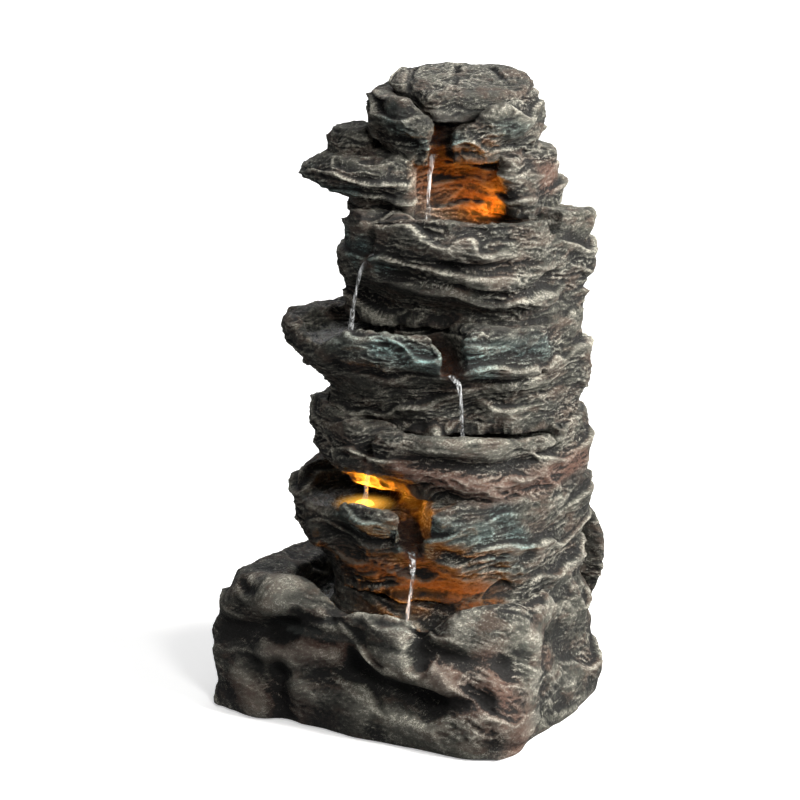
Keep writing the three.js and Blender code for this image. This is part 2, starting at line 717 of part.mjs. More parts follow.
// ---------------------------------------------------------------- lights
// A potted light: a cup, the round board inside it with its light-emitting diode, and a domed lens.
for (const [name, { at, floor }] of Object.entries(lights)) {
  const place = (body) => body.translate(at.x, at.y, floor + GAP);
  const cup = solid(disc(LED_RADIUS, LED_HEIGHT, 20)).subtract(solid(disc(7.4, 10, 18).translate(0, 0, 2)));
  addPiece(`led_housing_${name}`, place(cup), BLACK_PLASTIC);
  const board = solid(disc(7, 1.6, 16)).add(solid(disc(2.4, 1.8, 10).translate(0, 0, 1)));
  addPiece(`led_board_${name}`, place(board.translate(0, 0, 2.3)), CERAMIC);
  const lens = turned([[0, 5.6], [7, 5.6], [7, 8], [5.4, 9.6], [3, 10.4], [0, 10.7]], 18);
  addPiece(`led_lens_${name}`, place(solid(lens)), LENS);
}

// ---------------------------------------------------------------- leads
for (const name of Object.keys(leads)) {
  addPiece(`${name}_lead`, sweptLead(name, LEAD_RADIUS, 6), CABLE);
}
addPiece(
  "lead_joiner",
  solid(block(17, 11, JOINER_HEIGHT).translate(JOINER.x, JOINER.y, JOINER.z)),
  BLACK_PLASTIC,
);
const clipArm = solid(block(8, 4, 9).translate(52, DUCT.y, 98));
addPiece(
  "joiner_clip",
  solid(disc(7.8, 9, 16).translate(DUCT.x, DUCT.y, 98))
    .add(clipArm)
    .subtract(solid(disc(TUBE_RADIUS + GAP, 12, 16).translate(DUCT.x, DUCT.y, 97)))
    .subtract(solid(block(17.6, 12, 30).translate(JOINER.x, JOINER.y, JOINER.z - 2))),
  BLACK_PLASTIC,
);

// ---------------------------------------------------------------- cord gland
function cordGland() {
  const flange = glandBore(8.6, GLAND.y + 0.3, GLAND.y + 3);
  const stem = glandBore(4.9, GLAND.y - 14, GLAND.y + 1);
  const dome = glandBore(5.6, GLAND.y + 2, GLAND.y + 6.5, 12);
  return joinAll([flange, stem, dome]).subtract(glandBore(2.2, GLAND.y - 20, GLAND.y + 20, 12));
}
addPiece("cord_gland", cordGland(), RUBBER);

export default fountain;
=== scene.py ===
"""A tabletop rock-cascade fountain, running and lit, on a pale studio floor.

The castings are sculpted from the CAD solids: each is remeshed finely, smoothed, folded at given places, and
then layered and chiselled by noise. Lengths are in millimetres and are turned to metres where a mesh is made.
The studio's own sizes are in metres.
"""

import json
import math

import bmesh
import bpy
import numpy as np
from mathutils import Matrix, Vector


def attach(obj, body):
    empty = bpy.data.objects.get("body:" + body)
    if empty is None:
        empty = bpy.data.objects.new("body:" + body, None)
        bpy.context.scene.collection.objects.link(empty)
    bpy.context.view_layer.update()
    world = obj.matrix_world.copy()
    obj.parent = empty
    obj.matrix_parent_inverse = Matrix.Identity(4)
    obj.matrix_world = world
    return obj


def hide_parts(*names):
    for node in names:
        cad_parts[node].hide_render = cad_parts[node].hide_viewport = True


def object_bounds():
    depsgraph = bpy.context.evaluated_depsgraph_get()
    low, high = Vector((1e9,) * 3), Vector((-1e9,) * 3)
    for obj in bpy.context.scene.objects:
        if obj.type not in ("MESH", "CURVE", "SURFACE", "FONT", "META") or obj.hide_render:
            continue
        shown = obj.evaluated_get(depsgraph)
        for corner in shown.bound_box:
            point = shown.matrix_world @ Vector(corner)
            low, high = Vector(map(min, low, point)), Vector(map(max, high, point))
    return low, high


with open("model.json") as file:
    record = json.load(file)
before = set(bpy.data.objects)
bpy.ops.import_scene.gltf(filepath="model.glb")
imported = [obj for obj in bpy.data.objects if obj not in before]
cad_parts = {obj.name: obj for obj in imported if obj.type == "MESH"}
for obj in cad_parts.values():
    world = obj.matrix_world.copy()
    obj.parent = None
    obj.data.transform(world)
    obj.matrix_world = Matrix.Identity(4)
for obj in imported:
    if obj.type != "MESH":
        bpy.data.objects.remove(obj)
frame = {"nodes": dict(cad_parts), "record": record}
cad_box = [list(corner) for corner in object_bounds()]
scene = bpy.context.scene
MM = 0.001

# ---------------------------------------------------------------- camera
VIEW_AZIMUTH = 28  # degrees round from the front, towards +X
VIEW_ELEVATION = 16
VIEW_DISTANCE = 2200
LENS = 139.7
SENSOR_WIDTH = 36
AIM = (-6.9, -3.7, 223)


def direction(azimuth, elevation):
    """The unit vector out from the fountain, at degrees round from the front and degrees up."""
    a, e = math.radians(azimuth), math.radians(elevation)
    return Vector((math.sin(a) * math.cos(e), -math.cos(a) * math.cos(e), math.sin(e)))


def add_camera():
    back = direction(VIEW_AZIMUTH, VIEW_ELEVATION)
    camera = bpy.data.objects.new("camera", bpy.data.cameras.new("camera"))
    camera.data.lens = LENS
    camera.data.sensor_width = SENSOR_WIDTH
    camera.location = (Vector(AIM) + back * VIEW_DISTANCE) * MM
    camera.rotation_euler = (-back).to_track_quat("-Z", "Y").to_euler()
    scene.collection.objects.link(camera)
    scene.camera = camera


add_camera()

# ---------------------------------------------------------------- plan positions
BASIN_TURN = math.radians(28)  # the basins' long axis runs from the left front to the right rear
DUCT = np.array([45.0, 38.0])  # axis of the riser tube
DUCT_RADIUS = 23
DUCT_TOP = 404
CHAMBER = np.array([38, 20])  # middle of the pump chamber
CHAMBER_RADIUS = 50
CHAMBER_TOP = 160


def at(along, across, z):
    """A point given along the basins' long axis and across it, away from the front."""
    c, s = math.cos(BASIN_TURN), math.sin(BASIN_TURN)
    return np.array([along * c - across * s, along * s + across * c, z])


# ---------------------------------------------------------------- noise
rng = np.random.RandomState(7)
GRADIENTS = rng.normal(size=(256, 3))
GRADIENTS /= np.linalg.norm(GRADIENTS, axis=1)[:, None]
SHUFFLE = rng.permutation(256)


def noise(points, seed=0):
    """Gradient noise, about -1 to 1, at an (n, 3) array of points one feature apart."""
    cell = np.floor(points).astype(np.int64)
    part = points - cell
    fade = part**3 * (part * (part * 6 - 15) + 10)
    total = np.zeros(len(points))
    for dx in (0, 1):
        for dy in (0, 1):
            for dz in (0, 1):
                x, y, z = cell[:, 0] + dx, cell[:, 1] + dy, cell[:, 2] + dz
                pick = SHUFFLE[(SHUFFLE[(SHUFFLE[(x + seed) & 255] + y) & 255] + z) & 255]
                weight = np.ones(len(points))
                for axis, d in enumerate((dx, dy, dz)):
                    weight = weight * (fade[:, axis] if d else 1 - fade[:, axis])
                offset = part - (dx, dy, dz)
                total += weight * np.einsum("ij,ij->i", GRADIENTS[pick], offset)
    return total * 1.6


def ridged(points, seed=0):
    """Sharp-crested noise, 0 in the hollows and 1 on the crests."""
    return 1 - np.minimum(np.abs(noise(points, seed)) * 1.8, 1)


def smooth_step(low, high, value):
    t = np.clip((value - low) / (high - low), 0, 1)
    return t * t * (3 - 2 * t)


def near(points, start, end, radius, soft=1.0):
    """1 on the line from start to end, falling to 0 at radius away from it."""
    start, end = np.asarray(start, float), np.asarray(end, float)
    run = end - start
    share = np.clip((points - start) @ run / max(run @ run, 1e-9), 0, 1)
    away = np.linalg.norm(points - start - share[:, None] * run, axis=1)
    return 1 - smooth_step(radius * (1 - soft), radius, away)


# ---------------------------------------------------------------- sculpting the castings
VOXEL = 1.15
SMOOTHING = 40  # rounds
SLAB_RELIEF = 5.0
LEAF_RELIEF = 1.6
LUMP_RELIEF = 2.4
CHISEL_RELIEF = 1.2
GRAIN_RELIEF = 0.9
CHIP_RELIEF = 0.5
RIDGE_ROUNDS = 4  # of blur that a fine ridge stands out from
RIDGE_RELIEF = 0.3
STAND_ROUNDS = 110  # of blur that a broad swelling stands out from
STAND_RELIEF = 2.4
BOX_MARGIN = 3  # past the CAD box, before a bulge is drawn back
BULGE_CUT = 0.6  # share of the rest that goes
SEAT_DEPTH = 5
CAP_TOP = 459.5
CAP_DROP = 9  # from the cap's back to its front
FOOT_LEVEL = 1.5


def fine_copy(node, voxel):
    """A remeshed and smoothed copy of a CAD node's mesh."""
    copy = bpy.data.objects.new(node + "_copy", frame["nodes"][node].data.copy())
    scene.collection.objects.link(copy)
    remesh = copy.modifiers.new("remesh", "REMESH")
    remesh.mode = "VOXEL"
    remesh.voxel_size = voxel * MM
    smooth = copy.modifiers.new("smooth", "SMOOTH")
    smooth.factor = 0.5
    smooth.iterations = SMOOTHING
    bpy.context.view_layer.update()
    graph = bpy.context.evaluated_depsgraph_get()
    mesh = bpy.data.meshes.new_from_object(copy.evaluated_get(graph))
    bpy.data.objects.remove(copy)
    return mesh


def vertex_values(mesh, source, name):
    values = np.zeros(len(mesh.vertices) * 3)
    source.foreach_get(name, values)
    return values.reshape(-1, 3)


def blurred(mesh, values, rounds):
    """Values averaged over each vertex's neighbours, again and again."""
    edges = np.zeros(len(mesh.edges) * 2, np.int64)
    mesh.edges.foreach_get("vertices", edges)
    a, b = edges.reshape(-1, 2).T
    count = len(mesh.vertices)
    degree = np.maximum(np.bincount(a, minlength=count) + np.bincount(b, minlength=count), 1)
    for _ in range(rounds):
        total = np.bincount(a, values[b], count) + np.bincount(b, values[a], count)
        values = 0.5 * values + 0.5 * total / degree
    return values


def layers(points, spacing, seed, sharp=2.2):
    """Stacked slabs: each leans out towards a sharp upper edge, then steps back.

    Gives the relief, about -1 to 1, and how near each point is to an edge, 0 to 1.
    """
    warp = 0.75 * spacing * noise(points / 62, seed) + 0.25 * spacing * noise(points / 21, seed + 3)
    level = (points[:, 2] + warp) / spacing
    slab = np.floor(level)
    part = level - slab

    def stand(which):
        across = points * (0.022, 0.022, 0.004) + np.stack([which * 5.3, which * 3.1, which * 7.7], axis=1)
        return noise(across, seed + 9)

    ledge = smooth_step(-0.25, 0.35, noise(points / (42, 42, 30), seed + 11))
    step = smooth_step(0.9, 1.0, part)
    lean = part**sharp * (1 - step)
    height = stand(slab) * (1 - step) + stand(slab + 1) * step
    edge = np.exp(-(((part - 0.9) * spacing / 0.75) ** 2)) * ledge
    return 1.1 * height + 1.3 * (lean - 0.35) * (0.15 + 0.85 * ledge), edge


def hidden_inside(points):
    """1 in the riser's duct and the pump chamber, which are never seen."""
    from_duct = np.linalg.norm(points[:, :2] - DUCT, axis=1)
    duct = (from_duct < DUCT_RADIUS) & (points[:, 2] < DUCT_TOP)
    from_chamber = np.linalg.norm(points[:, :2] - CHAMBER, axis=1)
    chamber = (from_chamber < CHAMBER_RADIUS) & (points[:, 2] < CHAMBER_TOP)
    return (duct | chamber).astype(float)


def sculpt(node, seed, spacing=18.0, bold=1.0, dip=(0.0, 0.0), folds=(), voxel=VOXEL, lumpy=1.0, grit=1.0):
    """A layered, chiselled stone in place of a CAD casting.

    spacing is the thickness of its slabs and bold scales how far they stand out. dip tilts them, as rise per
    run along X and Y. A fold is (start, end, radius, height), in places given along and across the basins: a
    swelling, or a crease where the height is below 0. lumpy scales the lumps, and grit the fine chiselling.
    """
    mesh = fine_copy(node, voxel)
    points = vertex_values(mesh, mesh.vertices, "co") / MM
    normals = vertex_values(mesh, mesh.vertex_normals, "vector")
    side = np.sqrt(np.clip(1 - normals[:, 2] ** 2, 0, 1))
    lift = np.zeros(len(points))
    for start, end, radius, height in folds:
        lift += height * near(points, at(*start), at(*end), radius)
    points += normals * lift[:, None]
    bedded = points + np.outer(points[:, :2] @ dip, (0, 0, 1))
    swirl = 4 * noise(bedded / 24, seed + 2)[:, None] * (0.3, 0.3, 1)
    slabs, edge = layers(bedded, spacing, seed)
    leaves, thin_edge = layers(bedded + swirl, spacing * 0.42, seed + 50)
    leafy = smooth_step(-0.2, 0.5, noise(points / (34, 34, 22), seed + 61))
    chisel = ridged((bedded + swirl) / (16, 16, 4.6), seed + 31)
    grain = ridged((bedded + swirl) / (8.5, 8.5, 2.9), seed + 41)
    chips = ridged((points + swirl) / (4.4, 4.4, 3.0), seed + 45)
    lumps = noise(points / (44, 44, 30), seed + 21) + 0.5 * noise(points / 18, seed + 22)
    coarse = grit * (0.5 + 0.8 * smooth_step(-0.3, 0.4, noise(points / (38, 38, 24), seed + 71)))
    tooled = CHISEL_RELIEF * (chisel - 0.5) + GRAIN_RELIEF * (grain - 0.5) + CHIP_RELIEF * (chips - 0.5)
    relief = bold * (0.25 + 0.75 * side) * (SLAB_RELIEF * slabs + LEAF_RELIEF * leafy * leaves)
    relief += lumpy * LUMP_RELIEF * lumps + coarse * tooled
    relief *= 1 - hidden_inside(points)
    if node == "base_basin":
        relief *= 0.15 + 0.85 * smooth_step(1.5, 20, points[:, 2])
    points += normals * relief[:, None]
    lift += relief
    if node == "base_basin":
        points = settle_foot(points)
    elif node == "cap_slab":
        points = tip_cap(points, relief)
    elif node != "rear_cover":
        points = seat(points, normals)
    points = kept_near_frame(points)
    mesh.vertices.foreach_set("co", (points * MM).ravel())
    mesh.update()
    lines = bold * side**3 * (edge + 0.6 * leafy * thin_edge)
    lines *= smooth_step(-0.3, 0.35, noise(points / (11, 11, 7), seed + 81))
    fine = np.clip((lift - blurred(mesh, lift, RIDGE_ROUNDS)) / RIDGE_RELIEF, -1, 1)
    broad = np.clip((lift - blurred(mesh, lift, STAND_ROUNDS)) / STAND_RELIEF, -1, 1)
    store(mesh, "crest", np.clip(lines, 0, 1))
    store(mesh, "ridge", fine)
    store(mesh, "stand", broad)
    for mark, places in STAINS_AND_PAINTED_LIGHT.items():
        store(mesh, mark, mark_amount(points, places, seed + len(mark)))
    mesh.polygons.foreach_set("use_smooth", np.ones(len(mesh.polygons), bool))
    stone = bpy.data.objects.new(node + "_stone", mesh)
    scene.collection.objects.link(stone)
    mesh.materials.clear()
    mesh.materials.append(rock_material())
    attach(stone, body_of(node))
    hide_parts(node)


def kept_near_frame(points):
    """Bulges drawn back towards the CAD box where they stand more than a little outside it."""
    for axis in (0, 1):
        low, high = cad_box[0][axis] / MM, cad_box[1][axis] / MM
        points[:, axis] -= BULGE_CUT * np.maximum(points[:, axis] - high - BOX_MARGIN, 0)
        points[:, axis] += BULGE_CUT * np.maximum(low - BOX_MARGIN - points[:, axis], 0)
    return points


def seat(points, normals):
    """The underside drawn down into the stone below, so that no joint shows."""
    underside = smooth_step(-0.2, -0.8, normals[:, 2]) * smooth_step(9, 4, points[:, 2] - points[:, 2].min())
    points[:, 2] -= SEAT_DEPTH * underside
    return points


def tip_cap(points, relief):
    """The cap's top kept nearly flat and tipped down towards the front."""
    points[:, 2] = np.minimum(points[:, 2], CAP_TOP + 0.7 * relief)
    across = points @ (-math.sin(BASIN_TURN), math.cos(BASIN_TURN), 0)
    points[:, 2] -= CAP_DROP * smooth_step(26, -42, across)
    return points


def settle_foot(points):
    """The base's flat underside, its lower edge kept square, and its left end and front corner drawn out."""
    low = 1 - smooth_step(3, 22, points[:, 2])
    points[:, 2] = np.maximum(points[:, 2] - 3.5 * low, FOOT_LEVEL)
    left = smooth_step(70, 118, -points[:, 0])
    points[:, 0] -= 7 * left * smooth_step(110, 60, points[:, 2])
    points[:, 2] -= 9 * smooth_step(40, 90, -points[:, 0]) * smooth_step(60, 95, points[:, 2])
    corner = near(points, (112, -90, 0), (112, -90, 30), 46)
    points[:, 0] += 5 * corner
    points[:, 1] -= 3 * corner
    return points


def mark_amount(points, places, seed):
    """How much of a mark each point has, for the stains, the painted shade and the painted lamp glow alike:
    patches at the given places, broken up by noise.
    """
    amount = np.zeros(len(points))
    for start, end, radius, strength in places:
        amount = np.maximum(amount, strength * near(points, at(*start), at(*end), radius, 0.8))
    patchy = 0.5 + 0.9 * noise(points / (13, 13, 8), seed) + 0.5 * noise(points / 4, seed + 1)
    return np.clip(amount * smooth_step(-0.5, 0.9, patchy + amount), 0, 1)


def store(mesh, name, values):
    mesh.attributes.new(name, "FLOAT", "POINT").data.foreach_set("value", values.astype(np.float32))


def body_of(node):
    bodies = frame["record"]["behaviour"]["bodies"]
    return next(body for body, nodes in bodies.items() if node in nodes)


# ---------------------------------------------------------------- stains, painted shade and painted lamp glow
# Where each mark lies: (start, end, radius, strength), in places given along and across the basins. The dark
# marks are painted shade and the amber marks painted lamp glow; the rest are stains and wet stone.
STAINS_AND_PAINTED_LIGHT = {
    "teal": [
        ((-50, -60, 280), (-21, -72, 281), 15, 0.5),
        ((-21, -72, 281), (23, -82, 268), 18, 1.0),
        ((40, -82, 283), (50, -76, 260), 16, 1.0),
        ((57, -78, 281), (95, -55, 276), 15, 0.8),
        ((-50, -55, 152), (-12, -80, 147), 15, 0.8),
        ((-9, -80, 146), (-9, -72, 128), 9, 1.0),
        ((13, -86, 158), (10, -80, 134), 9, 1.0),
        ((15, -88, 155), (50, -84, 152), 16, 0.9),
        ((61, -81, 165), (80, -76, 138), 14, 0.9),
        ((61, -81, 135), (75, -79, 118), 14, 0.7),
        ((-34, -47, 345), (-18, -58, 332), 13, 1.0),
        ((-42, -30, 350), (-38, -40, 335), 12, 0.9),
        ((-14, -44, 436), (4, -50, 414), 13, 0.8),
        ((8, -50, 425), (10, -50, 406), 7, 1.0),
        ((28, -52, 420), (38, -50, 412), 9, 0.9),
        ((60, -47, 430), (76, -40, 424), 12, 0.6),
        ((-60, -28, 385), (-40, -38, 383), 10, 0.9),
        ((-72, -18, 393), (-60, -26, 388), 9, 0.5),
        ((44, -108, 82), (76, -100, 78), 9, 0.8),
        ((-20, -96, 92), (20, -106, 90), 9, 0.5),
        ((-110, -35, 86), (-90, -52, 88), 12, 0.35),
    ],
    "rust": [
        ((-8, -74, 192), (60, -80, 180), 17, 0.9),
        ((60, -80, 182), (125, -20, 184), 17, 0.9),
        ((54, -30, 385), (105, -10, 388), 17, 0.9),
        ((0, -30, 385), (40, -25, 395), 16, 0.7),
        ((10, -90, 335), (80, -75, 338), 12, 0.45),
        ((-60, -60, 262), (10, -80, 248), 14, 0.5),
        ((-60, -60, 225), (-10, -66, 232), 18, 0.6),
        ((20, -115, 60), (60, -125, 30), 24, 0.6),
        ((55, -125, 70), (72, -115, 10), 24, 0.75),
        ((-100, -55, 60), (-50, -76, 62), 18, 0.6),
        ((-120, -40, 20), (-80, -62, 14), 20, 0.5),
        ((-60, -66, 118), (0, -72, 112), 16, 0.7),
        ((70, -90, 80), (95, -70, 60), 16, 0.5),
        ((60, 40, 190), (100, 60, 180), 40, 0.5),
        ((-60, 70, 60), (40, 90, 40), 40, 0.5),
    ],
    # painted shade: darker colour laid in creases, under the rims and overhangs, and over the base's left
    # half, away from the key light
    "dark": [
        ((-12, -46, 438), (12, -48, 434), 9, 0.8),  # under the front edge of the cap
        ((12, -48, 434), (50, -46, 434), 10, 1.0),
        ((20, -40, 432), (20, -44, 412), 12, 0.9),
        ((30, -44, 416), (30, -44, 400), 6, 1.0),
        ((-14, -32, 402), (-8, -40, 372), 12, 0.8),  # left of the alcove
        ((-40, -44, 372), (-14, -50, 366), 11, 0.8),
        ((-24, -60, 318), (60, -74, 298), 15, 1.0),  # between the first tier and the second
        ((60, -74, 300), (110, -46, 300), 9, 0.7),
        ((18, -58, 284), (36, -74, 262), 9, 0.6),
        ((-60, -52, 256), (10, -76, 240), 13, 0.9),  # under the second tier
        ((10, -70, 236), (70, -70, 222), 12, 0.9),
        ((-20, -50, 214), (10, -60, 224), 14, 0.9),
        ((-66, -34, 136), (-14, -74, 132), 12, 0.8),  # under the fourth tier's rim
        ((60, -70, 176), (120, -20, 172), 9, 0.8),
        ((-80, -30, 100), (-40, -50, 84), 22, 0.9),  # the reservoir's left end
        ((-120, -30, 60), (-50, -70, 20), 44, 0.6),  # the base's left half, darker than its right
        ((-110, -20, 84), (-62, -58, 95), 28, 0.5),
        ((-130, -30, 60), (-93, -51, 68), 12, 0.8),  # the creases of the base
        ((-93, -51, 68), (-56, -62, 86), 12, 0.8),
        ((-93, -56, 38), (-92, -60, 6), 12, 0.7),
        ((-42, -82, 54), (12, -108, 34), 14, 0.9),
        ((12, -108, 34), (50, -118, 44), 13, 0.6),
        ((6, -100, 92), (7, -106, 62), 8, 0.7),
        ((106, -49, 56), (122, -24, 46), 16, 0.2),
        ((2, 16, 457), (-4, -26, 450), 4, 0.35),  # the cracks of the cap
        ((32, 20, 457), (30, -30, 448), 4, 0.35),
        ((56, 12, 457), (66, -22, 450), 4, 0.35),
    ],
    # painted glow: the amber lamps' orange light laid into the colour of the walls their beams reach
    "amber": [
        ((8, -74, 112), (50, -76, 98), 24, 1.0),
        ((-50, -52, 122), (-6, -68, 108), 18, 0.8),
        ((16, -18, 392), (62, -18, 368), 26, 1.0),
        ((-30, -45, 186), (-6, -66, 172), 18, 1.0),
        ((30, -48, 412), (40, -40, 402), 10, 0.6),
    ],
    "wet": [
        ((14, -44, 280), (32, -84, 258), 13, 1.0),
        ((-4, -42, 160), (3, -84, 124), 14, 1.0),
        ((19, -26, 432), (18, -27, 402), 9, 1.0),
        ((2, -42, 356), (-34, -52, 332), 8, 1.0),
        ((2, -44, 206), (-30, -58, 194), 8, 1.0),
        ((-6, -66, 116), (-6, -76, 84), 8, 0.5),
    ],
}


# ---------------------------------------------------------------- material helpers
def new_material(name):
    made = bpy.data.materials.new(name)
    made.use_nodes = True
    return made, made.node_tree, made.node_tree.nodes["Principled BSDF"]


def add_node(tree, kind, **settings):
    made = tree.nodes.new(kind)
    for key, value in settings.items():
        setattr(made, key, value)
    return made


def mix(tree, factor, a, b):
    """A colour mix of two colours or outputs by a factor or output."""
    made = add_node(tree, "ShaderNodeMix", data_type="RGBA")
    for socket, value in ((made.inputs[0], factor), (made.inputs[6], a), (made.inputs[7], b)):
        connect(tree, socket, value)
    return made.outputs[2]


def connect(tree, socket, value):
    if isinstance(value, bpy.types.NodeSocket):
        tree.links.new(value, socket)
    elif isinstance(value, tuple) and len(value) == 3:
        socket.default_value = (*value, 1)
    else:
        socket.default_value = value


def math_node(tree, operation, a, b=0.0):
    made = add_node(tree, "ShaderNodeMath", operation=operation)
    connect(tree, made.inputs[0], a)
    connect(tree, made.inputs[1], b)
    return made.outputs[0]


def remap(tree, value, low, high, to_low=0.0, to_high=1.0):
    made = add_node(tree, "ShaderNodeMapRange", interpolation_type="SMOOTHSTEP")
    for socket, given in zip(made.inputs, (value, low, high, to_low, to_high)):
        connect(tree, socket, given)
    return made.outputs[0]


def noise_node(tree, scale, stretch=(1, 1, 1), detail=4.0, roughness=0.6, distortion=0.0):
    """Noise in object space; scale is features per metre."""
    place = add_node(tree, "ShaderNodeTexCoord")
    mapping = add_node(tree, "ShaderNodeMapping")
    mapping.inputs["Scale"].default_value = stretch
    made = add_node(tree, "ShaderNodeTexNoise")
    tree.links.new(place.outputs["Object"], mapping.inputs["Vector"])
    tree.links.new(mapping.outputs[0], made.inputs["Vector"])
    made.inputs["Scale"].default_value = scale
    made.inputs["Detail"].default_value = detail
    made.inputs["Roughness"].default_value = roughness
    made.inputs["Distortion"].default_value = distortion
    return made.outputs["Fac"]


def weighted(tree, *parts):
    """The sum of (output, weight) pairs."""
    total = 0.0
    for output, weight in parts:
        total = math_node(tree, "ADD", math_node(tree, "MULTIPLY", output, weight), total)
    return total


def attribute(tree, name):
    return add_node(tree, "ShaderNodeAttribute", attribute_name=name).outputs["Fac"]


def bump(tree, shader, height, strength, distance):
    made = add_node(tree, "ShaderNodeBump")
    made.inputs["Strength"].default_value = strength
    made.inputs["Distance"].default_value = distance
    connect(tree, made.inputs["Height"], height)
    tree.links.new(made.outputs[0], shader.inputs["Normal"])


made_materials = {}


def lines_node(tree, scale, stretch, detail, width):
    """Thin wandering lines, 1 on each line, where noise crosses its middle value."""
    off = math_node(tree, "SUBTRACT", noise_node(tree, scale, stretch, detail, 0.65, 0.6), 0.5)
    return remap(tree, math_node(tree, "ABSOLUTE", off), 0.0, width, 1.0, 0.0)


CHARCOAL = (0.028, 0.029, 0.024), (0.098, 0.096, 0.075)  # each pair runs from the darkest to the lightest
RUST = (0.085, 0.038, 0.025), (0.25, 0.125, 0.085)
TEAL = (0.018, 0.046, 0.048), (0.055, 0.12, 0.12)
PAINTED_GLOW = (0.05, 0.019, 0.007), (0.24, 0.1, 0.02)
DAMP = (0.012, 0.005, 0.004), (0.16, 0.066, 0.036)
BROWN = (0.105, 0.068, 0.048)
WEAR_AND_HIGHLIGHT = (0.36, 0.34, 0.285)
HOLLOW_SHADE = (0.007, 0.0065, 0.006)
SHADE = (0.007, 0.0065, 0.0055)
PALE = (0.7, 0.67, 0.56)
PALE_TEAL = (0.42, 0.64, 0.61)
PALE_RUST = (0.55, 0.4, 0.33)


def rock_material():
    """Charcoal cast stone, brown and teal in places, with pale dry-brushed edges, its swellings lighter as
    wear and painted highlight, painted shade in its hollows and creases, and the amber lamps' glow painted
    orange on the walls they light.
    """
    if "rock" in made_materials:
        return made_materials["rock"]
    made, tree, shader = new_material("cast_rock")
    crest, ridge, stand = (attribute(tree, name) for name in ("crest", "ridge", "stand"))
    teal, rust, amber = (attribute(tree, name) for name in ("teal", "rust", "amber"))
    dark, wet = attribute(tree, "dark"), attribute(tree, "wet")
    cloud = noise_node(tree, 24, (1, 1, 1.8), 5)
    tint = noise_node(tree, 45, (1, 1, 2.2), 4)
    strokes = noise_node(tree, 400, (1, 1, 1.6), 6, 0.72, 0.6)
    speckle = noise_node(tree, 1100, (1, 1, 1.4), 4, 0.75)
    small_lines = lines_node(tree, 330, (1, 1, 1.8), 5, 0.045)
    crinkle = lines_node(tree, 560, (1, 1, 1.5), 4, 0.03)
    patches = remap(tree, noise_node(tree, 52, (1, 1, 1.8), 4), 0.42, 0.62, -1, 1)
    rough = math_node(tree, "SUBTRACT", math_node(tree, "ADD", strokes, speckle), 1.0)

    ground = mix(tree, remap(tree, cloud, 0.34, 0.66), *CHARCOAL)
    ground = mix(tree, remap(tree, tint, 0.46, 0.62, 0, 0.8), ground, BROWN)
    ground = mix(tree, rust, ground, mix(tree, cloud, *RUST))
    blue = mix(tree, cloud, *TEAL)
    ground = mix(tree, math_node(tree, "MULTIPLY", teal, 0.6), ground, blue)
    # painted glow of the amber lamps, where the amber marks lie
    ground = mix(tree, amber, ground, mix(tree, cloud, *PAINTED_GLOW))
    # lighter on broad swellings, rough grain and fine crests: partly wear, partly painted highlight
    lighter = mix(tree, 0.5, ground, WEAR_AND_HIGHLIGHT)
    wear_and_highlight = weighted(tree, (stand, 0.5), (patches, 0.2), (rough, 0.9), (ridge, 0.2))
    ground = mix(tree, remap(tree, wear_and_highlight, -0.15, 0.65, 0, 0.75), ground, lighter)

    # painted shade: the hollows, low ground and fine crevices darkened towards near black
    hollow_shade = weighted(tree, (ridge, 0.4), (stand, 0.7), (rough, 1.3))
    ground = mix(tree, remap(tree, hollow_shade, 0.12, -0.55, 0, 0.96), ground, HOLLOW_SHADE)

    edges = weighted(tree, (ridge, 0.75), (crest, 0.8))
    broken = math_node(tree, "MULTIPLY", edges, remap(tree, rough, -0.22, 0.16, 0.15, 1.0))
    parts = ((broken, 0.75), (small_lines, 0.3), (patches, 0.16), (rough, 2.0), (crinkle, 0.55))
    # fewer pale flecks on the painted lamp glow, the rust and the painted shade
    parts += ((amber, -0.9), (rust, -0.1), (dark, -0.25))
    brushed = weighted(tree, *parts)
    pale = mix(tree, teal, PALE, PALE_TEAL)
    pale = mix(tree, math_node(tree, "MULTIPLY", rust, 0.6), pale, PALE_RUST)
    ground = mix(tree, remap(tree, brushed, 0.5, 1.0, 0, 0.97), ground, pale)

    # painted shade, darkened towards SHADE where the dark marks lie
    ground = mix(tree, math_node(tree, "MULTIPLY", dark, 0.72), ground, SHADE)
    damp = mix(tree, remap(tree, strokes, 0.35, 0.7), *DAMP)
    ground = mix(tree, math_node(tree, "MULTIPLY", wet, 0.85), ground, damp)
    connect(tree, shader.inputs["Base Color"], ground)
    dry = remap(tree, strokes, 0.3, 0.7, 0.88, 0.58)
    shine = math_node(tree, "MULTIPLY", wet, 0.45)
    connect(tree, shader.inputs["Roughness"], math_node(tree, "SUBTRACT", dry, shine))
    relief = math_node(tree, "ADD", strokes, math_node(tree, "MULTIPLY", speckle, 0.4))
    relief = math_node(tree, "ADD", relief, math_node(tree, "MULTIPLY", small_lines, 0.18))
    relief = math_node(tree, "ADD", relief, math_node(tree, "MULTIPLY", crinkle, 0.12))
    bump(tree, shader, relief, 1.0, 0.002)
    made_materials["rock"] = made
    return made


